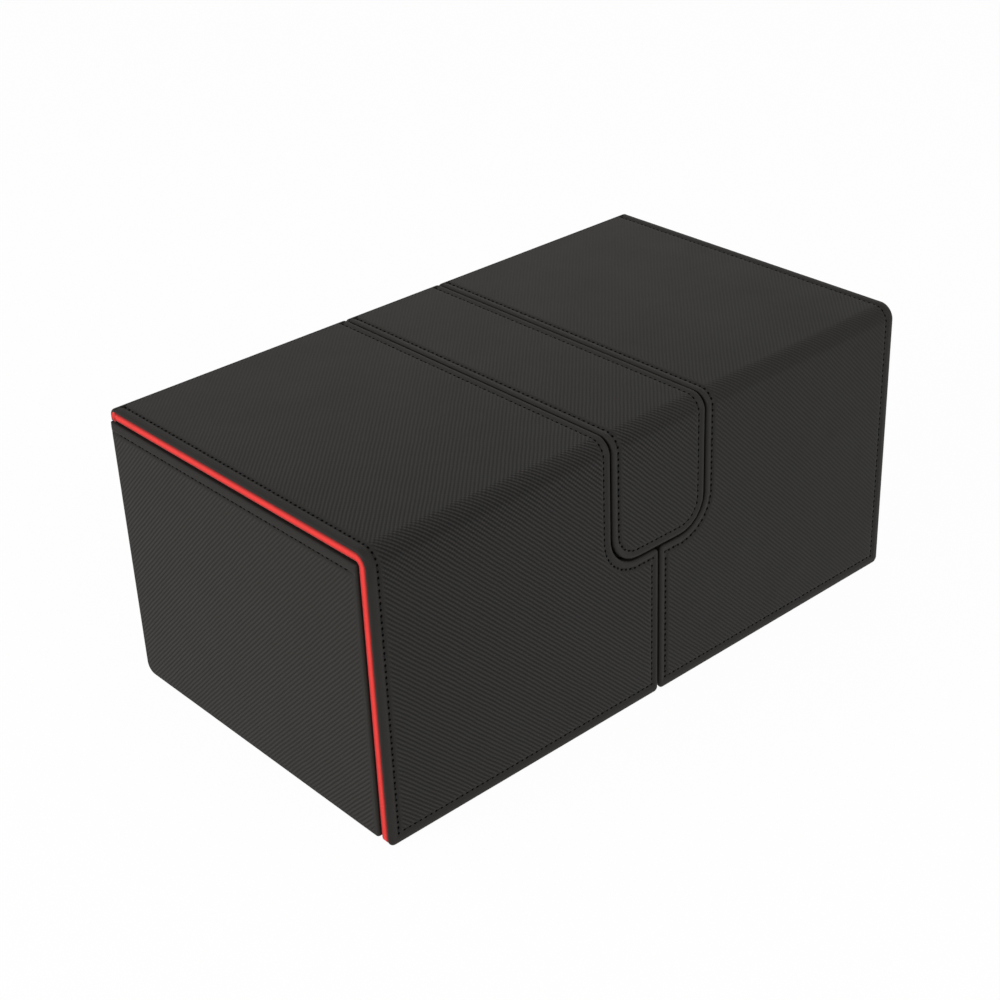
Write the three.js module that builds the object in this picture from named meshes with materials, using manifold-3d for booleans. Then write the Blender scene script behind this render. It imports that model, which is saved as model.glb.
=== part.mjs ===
// A card box with two lids, a centre strap that closes them, and a drawer beside the card wells.
// Millimetres. X runs along the front, the front faces -Y, +Z is up, and the box stands on z = 0.
import * as THREE from "three";
import { mergeVertices } from "three/addons/utils/BufferGeometryUtils.js";
import Module from "manifold-3d";

const wasm = await Module();
wasm.setup();

// The closed box
const boxLength = 230;
const boxDepth = 130.5;
const boxHeight = 102;

// The layers of a lid, a flap or the strap, from the outside in
const skin = 1;
const coverBoard = 1.5;
const liningPad = 1.6;
const turnedEdge = 1.1;
const glueLine = 0.1;

// The rigid case inside the lids
const wallBoard = 2.5;
const liningSheet = 0.8;
const bayPaper = 0.6;
const facing = 0.6;
const bottomEdgeRadius = 4;
const endProud = 0.7;
const lidClearance = 0.4;
const flapClearance = 0.4;
const cardSpace = 71;

// Lids, strap and tongue
const groove = 1;
const strapWidth = 41.1;
const tongueDrop = 46;
const tongueCornerRadius = 11;
const foldRadius = 5.5;
const hingeRadius = 3;
const flapLift = 0.3;
const flapCornerRadius = 3;
const seamCornerRadius = 1.5;
const softEdge = 0.8;

// Finger cut-outs in the front wall of the wells
const thumbWidth = 32;
const thumbDepth = 20;

// Hidden magnets and the steel discs that they hold to
const magnetRadius = 5;
const magnetThickness = 1.4;
const catchRadius = 6;
const catchThickness = 2;
const discSlack = 0.2;
const flapMagnetRise = 17;
const tongueMagnetRise = 11.5;
const drawerMagnetInset = 24;

// The drawer
const panelBoard = 2.1;
const panelGap = 0.3;
const panelLift = 1.5;
const panelCornerRadius = 4;
const trayBoard = 2;
const traySideSlack = 0.5;
const trayUnderSlack = 0.3;
const trayEndSlack = 1;
const trayTopSlack = 4;

// How finely round stretches are drawn, and how far a cut runs past what it cuts
const arcSteps = 6;
const softSteps = 3;
const discSides = 32;
const overrun = 1;

// Levels and faces that several pieces share
const halfLength = boxLength / 2;
const front = -boxDepth / 2;
const rear = boxDepth / 2;
const underLeather = skin + glueLine;
const underBoard = underLeather + coverBoard + glueLine;
const panelDepth = underBoard + liningPad;
const liningDepth = panelDepth - underLeather;
const foldY = front + foldRadius;
const foldZ = boxHeight - foldRadius;
const hingeY = rear - hingeRadius;
const hingeZ = boxHeight - hingeRadius;
const caseTop = boxHeight - panelDepth - lidClearance;
const caseFront = front + panelDepth + flapClearance;
const caseEnd = halfLength + endProud;
const tongueBottom = boxHeight - tongueDrop;
const flapMagnetZ = flapLift + flapMagnetRise;
const tongueMagnetZ = tongueBottom + tongueMagnetRise;
const drawerMagnetZ = { lower: panelLift + drawerMagnetInset, upper: caseTop - drawerMagnetInset };
const coreFront = caseFront + skin + glueLine;
const coreRear = rear - skin - glueLine;
const coreFloor = skin + glueLine;
const baseTop = coreFloor + wallBoard;
const wallFoot = baseTop + glueLine;

// Along X, from the drawer's front panel at the left to the closed right end
const panelBack = -caseEnd + skin + glueLine + panelBoard + glueLine + facing;
const coreLeft = panelBack + panelGap + facing + glueLine;
const endBoardFace = caseEnd - skin - glueLine - wallBoard;
const coreRight = endBoardFace - glueLine;
const leftWallInner = coreLeft + wallBoard;
const dividerLeft = -wallBoard / 2;
const dividerRight = wallBoard / 2;

// Across Y, from the front wall of the wells to the rear wall of the drawer bay
const frontWallInner = coreFront + wallBoard;
const wellFront = frontWallInner + glueLine + liningSheet;
const wellRear = wellFront + cardSpace;
const partitionFront = wellRear + liningSheet + glueLine;
const partitionRear = partitionFront + wallBoard;
const rearWallInner = coreRear - wallBoard;
const bayFront = partitionRear + glueLine + bayPaper;
const bayRear = rearWallInner - glueLine - bayPaper;
const bayFloor = wallFoot + bayPaper;
const roofUnder = caseTop - wallBoard;
const bayTop = roofUnder - glueLine - bayPaper;

const wells = {
  left: { low: leftWallInner, high: dividerLeft },
  right: { low: dividerRight, high: coreRight },
};
for (const well of Object.values(wells)) well.middle = (well.low + well.high) / 2;

const leather = finish(0x2f2e2c, 0.62);
const redCloth = finish(0xe0403c, 0.9);
const greyBoard = finish(0x8d8578, 0.95);
const blackPaper = finish(0x1d1c1c, 0.85);
const steel = finish(0x9a9da0, 0.35, 1);
const magnet = finish(0xb9bcc0, 0.25, 1);

function finish(color, roughness, metalness = 0) {
  return new THREE.MeshStandardMaterial({ color, roughness, metalness, flatShading: true });
}

function point(x, y) {
  return new THREE.Vector2(x, y);
}

function turnsBetween(fromDegrees, toDegrees, steps = arcSteps) {
  const degrees = (step) => THREE.MathUtils.lerp(fromDegrees, toDegrees, step / steps);
  return Array.from({ length: steps + 1 }, (_, step) => THREE.MathUtils.degToRad(degrees(step)));
}

// Points on a circle, or the one corner point where the radius is nothing.
function arc(centreX, centreY, radius, fromDegrees, toDegrees, steps) {
  if (radius <= 0) return [point(centreX, centreY)];
  return turnsBetween(fromDegrees, toDegrees, steps).map((turn) =>
    point(centreX + radius * Math.cos(turn), centreY + radius * Math.sin(turn)),
  );
}

function rectangle(lowX, highX, lowY, highY) {
  return [point(lowX, lowY), point(highX, lowY), point(highX, highY), point(lowX, highY)];
}

function circle(centreX, centreY, radius) {
  return Array.from({ length: discSides }, (_, side) => {
    const turn = (2 * Math.PI * side) / discSides;
    return point(centreX + radius * Math.cos(turn), centreY + radius * Math.sin(turn));
  });
}

function extruded(outline, thickness, holes) {
  const shape = new THREE.Shape(outline);
  shape.holes = holes.map((hole) => new THREE.Path(hole));
  return new THREE.ExtrudeGeometry(shape, { depth: thickness, bevelEnabled: false });
}

// A closed skin over rings of points that match one to one, with both end rings filled in.
function throughRings(rings, placed) {
  const clockwise = THREE.ShapeUtils.isClockWise(rings[0]);
  const wound = clockwise ? rings.map((ring) => ring.toReversed()) : rings;
  const spots = wound.map((ring, level) => ring.map((spot) => placed(spot, level)));
  const filled = (level) =>
    THREE.ShapeUtils.triangulateShape(wound[level], []).map((corners) =>
      corners.map((corner) => spots[level][corner]),
    );
  const between = (level) =>
    spots[level].flatMap((spot, place) => {
      const next = (place + 1) % spots[level].length;
      const above = spots[level + 1];
      return [
        [spot, spots[level][next], above[next]],
        [spot, above[next], above[place]],
      ];
    });
  const sides = spots.slice(1).flatMap((_, level) => between(level));
  const ends = [...filled(0).map((corners) => corners.toReversed()), ...filled(spots.length - 1)];
  const faces = [...sides, ...ends].filter(([a, b, c]) => !a.equals(b) && !b.equals(c) && !c.equals(a));
  const geometry = new THREE.BufferGeometry().setFromPoints(faces.flat());
  geometry.computeVertexNormals();
  return geometry;
}

// A sheet with the edges of one face rounded, as an outline drawn in while that face comes near.
function softSheet(outlineAt, thickness, softLast) {
  const soft = arc(softEdge, thickness - softEdge, softEdge, 180, 90, softSteps);
  const levels = [point(0, 0), ...soft];
  if (!softLast) for (const level of levels.reverse()) level.y = thickness - level.y;
  const rings = levels.map(({ x }) => outlineAt(x));
  return throughRings(rings, ({ x, y }, level) => new THREE.Vector3(x, y, levels[level].y));
}

function named(name, geometry, material) {
  const mesh = new THREE.Mesh(geometry, material);
  mesh.name = name;
  return mesh;
}

// A sheet whose outline lies in X and Z, thickened back from its near face.
function facingFront(name, material, outline, nearY, thickness, holes = []) {
  return placedFront(name, material, extruded(outline, thickness, holes), nearY, thickness);
}

function placedFront(name, material, geometry, nearY, thickness) {
  const mesh = named(name, geometry, material);
  mesh.rotation.x = Math.PI / 2;
  mesh.position.y = nearY + thickness;
  return mesh;
}

// A length whose section lies in Y and Z, drawn to the right from its left end.
function alongX(name, material, section, leftX, length, holes = []) {
  return placedAlongX(name, material, extruded(section, length, holes), leftX);
}

function placedAlongX(name, material, geometry, leftX) {
  const mesh = named(name, geometry, material);
  mesh.rotation.set(Math.PI / 2, Math.PI / 2, 0);
  mesh.position.x = leftX;
  return mesh;
}

function block(name, material, low, high) {
  const size = high.map((value, axis) => value - low[axis]);
  const mesh = named(name, new THREE.BoxGeometry(...size), material);
  mesh.position.set(...low.map((value, axis) => value + size[axis] / 2));
  return mesh;
}

function solidOf(mesh) {
  mesh.updateMatrixWorld();
  const placed = mesh.geometry.clone().applyMatrix4(mesh.matrixWorld);
  placed.deleteAttribute("normal");
  placed.deleteAttribute("uv");
  const merged = mergeVertices(placed);
  const vertProperties = new Float32Array(merged.attributes.position.array);
  const triVerts = new Uint32Array(merged.index.array);
  return new wasm.Manifold(new wasm.Mesh({ numProp: 3, vertProperties, triVerts }));
}

// The piece with each cutter taken out of it.
function carved(piece, ...cutters) {
  const cut = cutters.reduce((left, cutter) => left.subtract(solidOf(cutter)), solidOf(piece));
  const { vertProperties, triVerts } = cut.getMesh();
  const geometry = new THREE.BufferGeometry();
  geometry.setAttribute("position", new THREE.BufferAttribute(new Float32Array(vertProperties), 3));
  geometry.setIndex(new THREE.BufferAttribute(new Uint32Array(triVerts), 1));
  geometry.computeVertexNormals();
  return named(piece.name, geometry, piece.material);
}

function cutter(low, high) {
  return block("cutter", leather, low, high);
}

// A tray of one sheet thickness, open at the top.
function openTray(name, material, low, high, wall) {
  const inside = cutter(
    [low[0] + wall, low[1] + wall, low[2] + wall],
    [high[0] - wall, high[1] - wall, high[2] + overrun],
  );
  return carved(block(name, material, low, high), inside);
}

// A disc with its axis along X or Y, from its low face.
function disc(name, material, axis, low, radius, thickness) {
  const mesh = named(name, new THREE.CylinderGeometry(radius, radius, thickness, discSides), material);
  const along = new THREE.Vector3(axis === "x" ? 1 : 0, axis === "y" ? 1 : 0, 0);
  mesh.quaternion.setFromUnitVectors(new THREE.Vector3(0, 1, 0), along);
  mesh.position.set(...low).addScaledVector(along, thickness / 2);
  return mesh;
}

// The core's cross-section, with the two long bottom edges rounded.
function caseSection(inset, bottom, top) {
  const radius = bottomEdgeRadius - inset;
  const low = point(caseFront + bottomEdgeRadius, bottom + radius);
  const high = point(rear - bottomEdgeRadius, bottom + radius);
  const rise = Math.asin(THREE.MathUtils.clamp((low.y - top) / radius, 0, 1));
  const start = THREE.MathUtils.radToDeg(rise);
  const sides = top > low.y;
  return [
    ...(sides ? [point(caseFront + inset, top)] : []),
    ...arc(low.x, low.y, radius, 180 + start, 270),
    ...arc(high.x, high.y, radius, 270, 360 - start),
    ...(sides ? [point(rear - inset, top)] : []),
  ];
}

// A round-bottomed cut-out in X and Z, as deep as the finger needs.
function thumbOutline(well) {
  const radius = thumbWidth / 2;
  const centreZ = caseTop - thumbDepth + radius;
  return [
    point(well.middle + radius, caseTop + overrun),
    ...arc(well.middle, centreZ, radius, 360, 180),
    point(well.middle - radius, caseTop + overrun),
  ];
}

function thumbCutter(well) {
  const near = caseFront - overrun;
  const depth = wellFront + overrun - near;
  return facingFront("cutter", leather, thumbOutline(well), near, depth);
}

function caseWrap() {
  const outer = caseSection(0, 0, hingeZ - glueLine);
  const inner = caseSection(skin, skin, boxHeight + overrun);
  const length = coreRight - coreLeft;
  const shell = alongX("case_wrap", leather, outer, coreLeft, length);
  const inside = alongX("cutter", leather, inner, coreLeft - overrun, length + 2 * overrun);
  const aboveFrontWall = cutter(
    [coreLeft - overrun, caseFront - overrun, caseTop],
    [coreRight + overrun, wellFront, boxHeight],
  );
  return carved(shell, inside, aboveFrontWall, thumbCutter(wells.left), thumbCutter(wells.right));
}

function baseBoard() {
  const section = caseSection(skin + glueLine, coreFloor, baseTop);
  return alongX("base_board", greyBoard, section, coreLeft, coreRight - coreLeft);
}

// The front wall's outline is drawn once round, down and up each finger cut-out.
function frontBoard() {
  const outline = [
    point(coreLeft, wallFoot),
    point(coreRight, wallFoot),
    point(coreRight, caseTop),
    ...thumbEdge(wells.right),
    ...thumbEdge(wells.left),
    point(coreLeft, caseTop),
  ];
  const holes = catchPlaces().map(({ x, z }) => circle(x, z, catchRadius + discSlack));
  return facingFront("front_board", greyBoard, outline, coreFront, wallBoard, holes);
}

function thumbEdge(well) {
  const radius = thumbWidth / 2;
  const centreZ = caseTop - thumbDepth + radius;
  return [
    point(well.middle + radius, caseTop),
    ...arc(well.middle, centreZ, radius, 360, 180),
    point(well.middle - radius, caseTop),
  ];
}

function catchPlaces() {
  return [
    { name: "left_flap", x: wells.left.middle, z: flapMagnetZ },
    { name: "tongue", x: 0, z: tongueMagnetZ },
    { name: "right_flap", x: wells.right.middle, z: flapMagnetZ },
  ];
}

function drawerMagnetPlaces() {
  const middle = (wellFront + wellRear) / 2;
  return Object.entries(drawerMagnetZ).map(([level, z]) => ({ level, y: middle, z }));
}

// The lining of one well, a tray of one sheet with its own finger cut-out.
function wellLining(side) {
  const well = wells[side];
  const low = [well.low + glueLine, frontWallInner + glueLine, wallFoot];
  const high = [well.high - glueLine, wellRear + liningSheet, caseTop];
  const tray = openTray(`${side}_well_lining`, redCloth, low, high, liningSheet);
  return carved(tray, thumbCutter(well));
}

function bayLining() {
  const length = coreRight - coreLeft;
  const outer = rectangle(partitionRear + glueLine, rearWallInner - glueLine, wallFoot, roofUnder - glueLine);
  const inner = rectangle(bayFront, bayRear, bayFloor, bayTop);
  return alongX("bay_lining", blackPaper, outer, coreLeft, length, [inner]);
}

// The sheet on the left end of the case, with the mouth of the drawer bay cut in it.
function leftEndFacing() {
  const outline = caseSection(glueLine, glueLine, caseTop);
  const mouth = rectangle(bayFront, bayRear, bayFloor, bayTop);
  return alongX("left_end_facing", leather, outline, panelBack + panelGap, facing, [mouth]);
}

function leftEndBoard() {
  const outline = rectangle(frontWallInner + glueLine, partitionFront - glueLine, wallFoot, caseTop);
  const holes = drawerMagnetPlaces().map(({ y, z }) => circle(y, z, catchRadius + discSlack));
  return alongX("left_end_board", greyBoard, outline, coreLeft, wallBoard, holes);
}

// A panel's outline in Y and Z, with its bottom corners rounded.
function endPanelOutline(inset) {
  const radius = panelCornerRadius - inset;
  const low = point(caseFront + panelCornerRadius, panelLift + panelCornerRadius);
  const high = point(rear - panelGap - panelCornerRadius, panelLift + panelCornerRadius);
  return [
    point(low.x - radius, caseTop - inset),
    ...arc(low.x, low.y, radius, 180, 270),
    ...arc(high.x, high.y, radius, 270, 360),
    point(high.x + radius, caseTop - inset),
  ];
}

// The leather of an end panel: a face and the edge turned round the board behind it.
function endCover(name, faceX, inward, boardThickness) {
  const depth = skin + glueLine + boardThickness;
  const pocketDepth = depth - skin + overrun;
  const left = inward > 0 ? faceX : faceX - depth;
  const pocketLeft = inward > 0 ? faceX + skin : faceX - skin - pocketDepth;
  const body = placedAlongX(name, leather, softSheet(endPanelOutline, depth, inward < 0), left);
  const pocket = alongX("cutter", leather, endPanelOutline(turnedEdge), pocketLeft, pocketDepth);
  return carved(body, pocket);
}

function rightEnd() {
  const inset = turnedEdge + glueLine;
  const board = alongX("right_end_board", greyBoard, endPanelOutline(inset), endBoardFace, wallBoard);
  return [endCover("right_end_cover", caseEnd, -1, wallBoard), board];
}

function caseBody() {
  const wallBoards = [
    block("back_board", greyBoard, [coreLeft, rearWallInner, wallFoot], [coreRight, coreRear, caseTop]),
    block(
      "bay_partition",
      greyBoard,
      [coreLeft, partitionFront, wallFoot],
      [coreRight, partitionRear, roofUnder - glueLine],
    ),
    block(
      "bay_roof",
      greyBoard,
      [coreLeft, partitionFront, roofUnder],
      [coreRight, rearWallInner - glueLine, caseTop],
    ),
    block(
      "well_divider",
      greyBoard,
      [dividerLeft, frontWallInner + glueLine, wallFoot],
      [dividerRight, partitionFront - glueLine, caseTop],
    ),
  ];
  const catches = catchPlaces().map(({ name, x, z }) =>
    disc(`${name}_catch`, steel, "y", [x, coreFront, z], catchRadius, catchThickness),
  );
  const drawerCatches = drawerMagnetPlaces().map(({ level, y, z }) =>
    disc(`drawer_catch_${level}`, steel, "x", [coreLeft, y, z], catchRadius, catchThickness),
  );
  const linings = [wellLining("left"), wellLining("right"), bayLining(), leftEndFacing()];
  const boards = [baseBoard(), frontBoard(), leftEndBoard(), ...wallBoards];
  return [caseWrap(), ...boards, ...rightEnd(), ...linings, ...catches, ...drawerCatches];
}

function drawerFront() {
  const boardLeft = -caseEnd + skin + glueLine;
  const inset = turnedEdge + glueLine;
  const holes = drawerMagnetPlaces().map(({ y, z }) => circle(y, z, magnetRadius + discSlack));
  const board = alongX(
    "drawer_front_board",
    greyBoard,
    endPanelOutline(inset),
    boardLeft,
    panelBoard,
    holes,
  );
  const backing = endPanelOutline(glueLine);
  const magnets = drawerMagnetPlaces().map(({ level, y, z }) =>
    disc(
      `drawer_magnet_${level}`,
      magnet,
      "x",
      [boardLeft + panelBoard - magnetThickness, y, z],
      magnetRadius,
      magnetThickness,
    ),
  );
  return [
    endCover("drawer_front_cover", -caseEnd, 1, panelBoard),
    board,
    alongX("drawer_front_facing", blackPaper, backing, panelBack - facing, facing),
    ...magnets,
  ];
}

// The tray's boards stand on its floor, behind the front panel.
function drawerTray() {
  const left = panelBack + glueLine;
  const right = endBoardFace - trayEndSlack;
  const near = bayFront + traySideSlack;
  const far = bayRear - traySideSlack;
  const under = bayFloor + trayUnderSlack;
  const floor = under + trayBoard;
  const foot = floor + glueLine;
  const top = bayTop - trayTopSlack;
  const insideLow = [left, near + trayBoard + glueLine, foot];
  const insideHigh = [right - trayBoard - glueLine, far - trayBoard - glueLine, top];
  return [
    block("drawer_floor", greyBoard, [left, near, under], [right, far, floor]),
    block("drawer_side_near", greyBoard, [left, near, foot], [right, near + trayBoard, top]),
    block("drawer_side_rear", greyBoard, [left, far - trayBoard, foot], [right, far, top]),
    block(
      "drawer_end",
      greyBoard,
      [right - trayBoard, near + trayBoard + glueLine, foot],
      [right, far - trayBoard - glueLine, top],
    ),
    openTray("drawer_lining", redCloth, insideLow, insideHigh, liningSheet),
  ];
}

// The left and right halves of the cover, told apart by the way that they run from the seam.
const halves = [
  { name: "left", outward: -1, magnetX: wells.left.middle },
  { name: "right", outward: 1, magnetX: wells.right.middle },
];

// A half's reach in X, between its groove beside the strap and the end of the box.
function lidReach(half, inset) {
  const inner = half.outward * (strapWidth / 2 + groove + inset);
  const outer = half.outward * (halfLength - inset);
  return [Math.min(inner, outer), Math.max(inner, outer)];
}

function strapReach(inset) {
  return [inset - strapWidth / 2, strapWidth / 2 - inset];
}

// The layers on top of the box: leather, and a lining that is turned up round the board between them.
function topPanel(name, reach) {
  const [boardLow, boardHigh] = reach(turnedEdge + glueLine);
  const [pocketLow, pocketHigh] = reach(turnedEdge);
  const near = foldY + glueLine;
  const far = hingeY - glueLine;
  const boardTop = boxHeight - underLeather;
  const cover = leatherSection(reach, boxHeight, skin);
  const lining = facingFront(`${name}_lining`, redCloth, liningSection(reach, boxHeight), near, far - near);
  const pocket = cutter(
    [pocketLow, near - overrun, boxHeight - underBoard],
    [pocketHigh, far + overrun, boxHeight],
  );
  return [
    facingFront(`${name}_cover`, leather, cover, near, far - near),
    block(`${name}_board`, greyBoard, [boardLow, near, boardTop - coverBoard], [boardHigh, far, boardTop]),
    carved(lining, pocket),
  ];
}

// Leather across X, from its outer face down, with the two edges of that face soft.
function leatherSection(reach, face, depth) {
  const [low, high] = reach(0);
  const [softLow, softHigh] = reach(softEdge);
  const crown = face - softEdge;
  return [
    point(low, face - depth),
    ...arc(softLow, crown, softEdge, 180, 90, softSteps),
    ...arc(softHigh, crown, softEdge, 90, 0, softSteps),
    point(high, face - depth),
  ];
}

// The lining across X, under leather whose outer face is given, with its two inner edges soft.
function liningSection(reach, face) {
  const [low, high] = reach(0);
  const [softLow, softHigh] = reach(softEdge);
  const crown = face - panelDepth + softEdge;
  return [
    point(low, face - underLeather),
    ...arc(softLow, crown, softEdge, 180, 270, softSteps),
    ...arc(softHigh, crown, softEdge, 270, 360, softSteps),
    point(high, face - underLeather),
  ];
}

// A strip bent about an axis along X. Its section lies in X and in the distance from that axis.
function bentStrip(name, material, section, axisY, axisZ, [fromDegrees, toDegrees]) {
  const turns = turnsBetween(fromDegrees, toDegrees);
  const placed = ({ x, y }, level) =>
    new THREE.Vector3(x, axisY + y * Math.cos(turns[level]), axisZ + y * Math.sin(turns[level]));
  return named(name, throughRings(turns.map(() => section), placed), material);
}

// The layers that bend over the front edge, each a quarter of a tube.
function fold(name, reach) {
  const cover = leatherSection(reach, foldRadius, skin);
  const lining = liningSection(reach, foldRadius);
  return [
    bentStrip(`${name}_fold_cover`, leather, cover, foldY, foldZ, [90, 180]),
    bentStrip(`${name}_fold_lining`, redCloth, lining, foldY, foldZ, [90, 180]),
  ];
}

// The leather that joins a lid to the back of the case, rounded over the rear edge.
function hingeStrip(name, reach) {
  const section = leatherSection(reach, hingeRadius, hingeRadius);
  return bentStrip(`${name}_hinge_strip`, leather, section, hingeY, hingeZ, [0, 90]);
}

// A flap's outline, from its top beside the tongue, under the tongue, down the seam and round.
function flapOutline(half, inset, top) {
  const outward = (distance, z) => point(half.outward * distance, z);
  const seam = groove / 2 + inset;
  const end = halfLength - inset;
  const bottom = flapLift + inset;
  const under = tongueBottom - groove - inset;
  const notchX = strapWidth / 2 - tongueCornerRadius;
  const notchZ = tongueBottom + tongueCornerRadius;
  const seamRadius = Math.max(seamCornerRadius - inset, 0);
  const endRadius = Math.max(flapCornerRadius - inset, 0);
  const notch = arc(notchX, notchZ, tongueCornerRadius + groove + inset, 0, -90);
  const seamTop = arc(seam + seamRadius, under - seamRadius, seamRadius, 90, 180);
  const seamFoot = arc(seam + seamRadius, bottom + seamRadius, seamRadius, 180, 270);
  const outerFoot = arc(end - endRadius, bottom + endRadius, endRadius, 270, 360);
  const round = [...notch, ...seamTop, ...seamFoot, ...outerFoot];
  const beside = strapWidth / 2 + groove + inset;
  return [point(beside, top), ...round, point(end, top)].map(({ x, y }) => outward(x, y));
}

function tongueOutline(inset, top) {
  const radius = tongueCornerRadius - inset;
  const [low, high] = strapReach(tongueCornerRadius);
  const centreZ = tongueBottom + tongueCornerRadius;
  return [
    point(low - radius, top),
    ...arc(low, centreZ, radius, 180, 270),
    ...arc(high, centreZ, radius, 270, 360),
    point(high + radius, top),
  ];
}

// The layers on the front of the box: the same three, drawn to the panel's outline.
function frontPanel(name, outline, magnetX, magnetZ) {
  const top = foldZ - glueLine;
  const outlineAt = (inset) => outline(inset, top);
  const boardY = front + underLeather;
  const hole = circle(magnetX, magnetZ, magnetRadius + discSlack);
  const cover = softSheet(outlineAt, skin, true);
  const cloth = softSheet(outlineAt, liningDepth, false);
  const lining = placedFront(`${name}_lining`, redCloth, cloth, boardY, liningDepth);
  const pocketOutline = outline(turnedEdge, top + overrun);
  const pocketDepth = overrun + underBoard - underLeather;
  const pocket = facingFront("cutter", redCloth, pocketOutline, boardY - overrun, pocketDepth);
  const boardOutline = outlineAt(turnedEdge + glueLine);
  return [
    placedFront(`${name}_cover`, leather, cover, front, skin),
    facingFront(`${name}_board`, greyBoard, boardOutline, boardY, coverBoard, [hole]),
    carved(lining, pocket),
    disc(`${name}_magnet`, magnet, "y", [magnetX, boardY, magnetZ], magnetRadius, magnetThickness),
  ];
}

function lidAndFlap(half) {
  const reach = (inset) => lidReach(half, inset);
  const outline = (inset, top) => flapOutline(half, inset, top);
  return [
    ...topPanel(`${half.name}_lid`, reach),
    ...fold(half.name, reach),
    hingeStrip(half.name, reach),
    ...frontPanel(`${half.name}_flap`, outline, half.magnetX, flapMagnetZ),
  ];
}

function strapAndTongue() {
  return [
    ...topPanel("strap", strapReach),
    ...fold("strap", strapReach),
    hingeStrip("strap", strapReach),
    ...frontPanel("tongue", tongueOutline, 0, tongueMagnetZ),
  ];
}

function gathered(pieces) {
  const group = new THREE.Group();
  group.add(...pieces);
  return group;
}

const cardBox = new THREE.Group();
cardBox.add(gathered(caseBody()));
cardBox.add(gathered([...drawerFront(), ...drawerTray()]));
cardBox.add(...halves.map((half) => gathered(lidAndFlap(half))));
cardBox.add(gathered(strapAndTongue()));

export default cardBox;
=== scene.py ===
"""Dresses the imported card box: leather skins, red linings, stitches, boards and metal."""
import math
import bmesh
import bpy
from mathutils import Matrix, Vector
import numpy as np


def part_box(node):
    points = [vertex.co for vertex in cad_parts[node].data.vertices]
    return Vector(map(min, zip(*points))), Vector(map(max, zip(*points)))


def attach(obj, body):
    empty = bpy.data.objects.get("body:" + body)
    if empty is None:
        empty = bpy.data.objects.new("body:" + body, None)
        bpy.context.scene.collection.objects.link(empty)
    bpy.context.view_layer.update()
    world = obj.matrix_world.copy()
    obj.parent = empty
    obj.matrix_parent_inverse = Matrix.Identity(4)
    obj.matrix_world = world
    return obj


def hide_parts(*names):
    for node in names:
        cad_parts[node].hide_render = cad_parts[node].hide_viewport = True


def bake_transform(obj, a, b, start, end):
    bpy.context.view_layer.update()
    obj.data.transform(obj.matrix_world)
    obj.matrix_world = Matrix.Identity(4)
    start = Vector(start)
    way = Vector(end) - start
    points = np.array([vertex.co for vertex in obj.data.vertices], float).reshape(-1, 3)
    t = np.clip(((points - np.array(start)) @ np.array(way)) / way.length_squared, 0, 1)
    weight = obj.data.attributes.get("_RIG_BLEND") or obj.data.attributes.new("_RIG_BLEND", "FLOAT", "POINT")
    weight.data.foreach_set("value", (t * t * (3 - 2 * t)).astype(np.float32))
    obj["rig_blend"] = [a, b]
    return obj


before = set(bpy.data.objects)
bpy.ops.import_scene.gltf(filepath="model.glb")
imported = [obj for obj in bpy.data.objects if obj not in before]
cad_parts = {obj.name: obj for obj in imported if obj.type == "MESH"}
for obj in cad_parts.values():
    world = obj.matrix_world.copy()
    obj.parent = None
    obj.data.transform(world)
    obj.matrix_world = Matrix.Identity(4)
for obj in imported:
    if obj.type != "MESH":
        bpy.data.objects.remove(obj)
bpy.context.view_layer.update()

bl_info = {
    "name": "Card box with drawer",
    "version": (1, 0, 0),
    "blender": (4, 5, 0),
    "location": "3D View > Sidebar > Card box",
    "description": "Leather, linings and stitches for a card box with lids, a strap and a drawer",
    "category": "Object",
}

MM = 0.001
GLUE_LINE = 0.1 * MM
# Two places nearer than this are the same, and no corner is rounder than its smallest radius.
SAME_PLACE = 0.01 * MM
SMALLEST_RADIUS = 0.05 * MM
CORNER_STEPS = 6
NOTCH_STEPS = 10
BEND_STEPS = 14
ROLL_STEPS = 10


# Sizes and colours that a user would change


def length(name, description, default):
    return bpy.props.FloatProperty(
        name=name, description=description, default=default * MM, unit="LENGTH", precision=5
    )


def colour(name, red, green, blue):
    """A colour property whose default is given as the eye sees it, from 0 to 255."""
    return bpy.props.FloatVectorProperty(
        name=name,
        subtype="COLOR",
        size=3,
        min=0,
        max=1,
        default=[linear(value / 255) for value in (red, green, blue)],
    )


def linear(value):
    return value / 12.92 if value <= 0.04045 else ((value + 0.055) / 1.055) ** 2.4


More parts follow.
